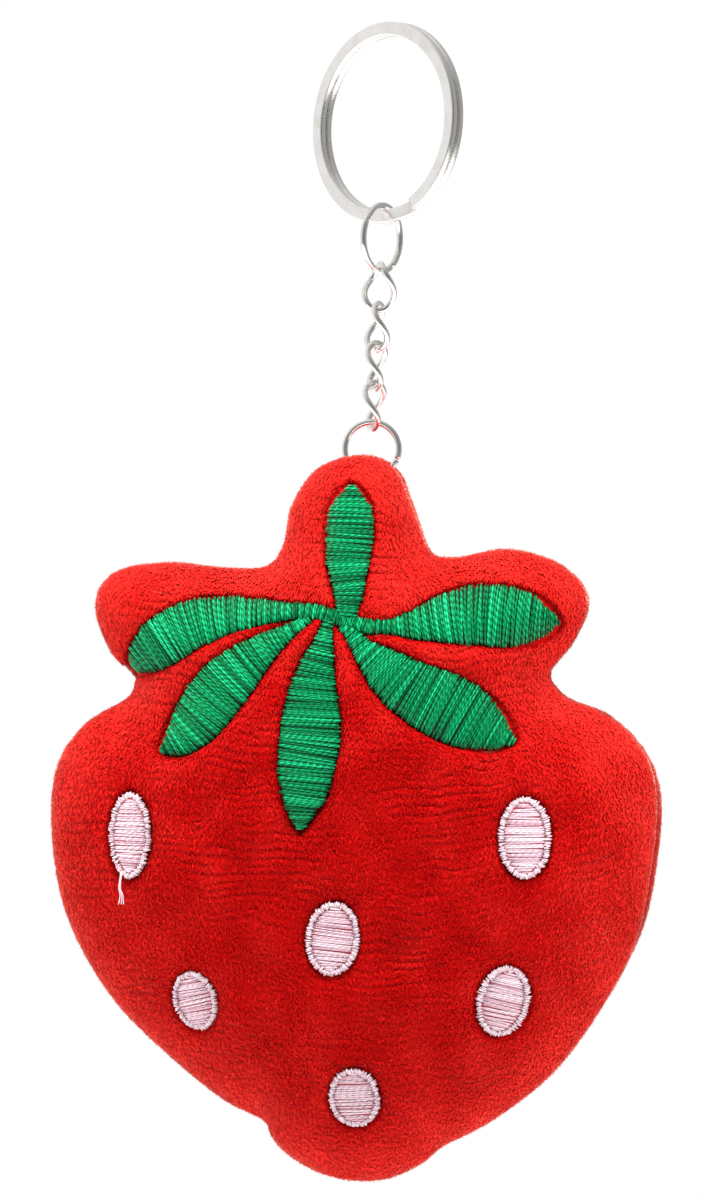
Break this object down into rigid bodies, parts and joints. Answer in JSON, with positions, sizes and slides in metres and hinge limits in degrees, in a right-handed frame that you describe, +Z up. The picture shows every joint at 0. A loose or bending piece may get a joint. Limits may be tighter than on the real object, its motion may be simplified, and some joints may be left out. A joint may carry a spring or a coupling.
{
  "type": "plush keychain",
  "caption": "Stuffed plush strawberry on a short twisted-link chain with a split ring for keys, embroidered with green leaves and pale seeds.",
  "frame": {"origin": "centre of the split ring's hole, where keys hang", "axes": "+Z up along the hanging chain, -Y out of the embroidered front, +X to the front's right as seen from the front"},
  "size_m": [0.0841, 0.0348, 0.1626],
  "materials": {
    "nickel": "polished nickel plate with fine handling scratches",
    "woven_tape": "narrow woven polyester tape",
    "red_plush": "short dense pile with a soft sheen, combed sideways",
    "stuffing": "loose white polyester fibre",
    "backing": "thin non-woven sheet",
    "red_thread": "twisted polyester sewing thread",
    "green_thread": "glossy rayon embroidery thread in satin stitch",
    "pink_thread": "glossy pale pink embroidery thread"
  },
  "bodies": {
    "split_ring": {"split_ring": "nickel"},
    "jump_ring": {"upper_jump_ring": "nickel"},
    "link_1": {"chain_link_1": "nickel"},
    "link_2": {"chain_link_2": "nickel"},
    "link_3": {"chain_link_3": "nickel"},
    "link_4": {"chain_link_4": "nickel"},
    "base_ring": {"base_ring": "nickel"},
    "fruit": {"hanging_loop": "woven_tape", "front_panel": "red_plush", "back_panel": "red_plush", "filling": "stuffing", "embroidery_backing": "backing", "seam_stitching": "red_thread", "closing_stitching": "red_thread", "leaf_top": "green_thread", "leaf_left": "green_thread", "leaf_right": "green_thread", "leaf_lower_left": "green_thread", "leaf_bottom": "green_thread", "leaf_lower_right": "green_thread", "seed_upper_left": "pink_thread", "seed_upper_right": "pink_thread", "seed_middle": "pink_thread", "seed_lower_left": "pink_thread", "seed_lower_right": "pink_thread", "seed_bottom": "pink_thread"}
  },
  "joints": [
    {"name": "jump_ring_swing", "type": "hinge", "parent": "split_ring", "child": "jump_ring", "pos_m": [0, 0, -0.01165], "axis": [0.4848, 0.8746, 0], "range_deg": [-30, 30]},
    {"name": "link_1_swing", "type": "hinge", "parent": "jump_ring", "child": "link_1", "pos_m": [0, 0, -0.01995], "axis": [0.342, -0.9397, 0], "range_deg": [-15, 15]},
    {"name": "link_2_swing", "type": "hinge", "parent": "link_1", "child": "link_2", "pos_m": [0, 0, -0.02554], "axis": [0.3502, 0.9367, 0], "range_deg": [-15, 15]},
    {"name": "link_3_swing", "type": "hinge", "parent": "link_2", "child": "link_3", "pos_m": [0, 0, -0.03113], "axis": [0.7193, 0.6947, 0], "range_deg": [-15, 15]},
    {"name": "link_4_swing", "type": "hinge", "parent": "link_3", "child": "link_4", "pos_m": [0, 0, -0.03672], "axis": [0.766, 0.6428, 0], "range_deg": [-15, 15]},
    {"name": "base_ring_swing", "type": "hinge", "parent": "link_4", "child": "base_ring", "pos_m": [0, 0, -0.04234], "axis": [1, 0, 0], "range_deg": [-20, 20]},
    {"name": "fruit_swing", "type": "hinge", "parent": "base_ring", "child": "fruit", "pos_m": [0, 0, -0.04999], "axis": [1, 0, 0], "range_deg": [-15, 15]}
  ]
}
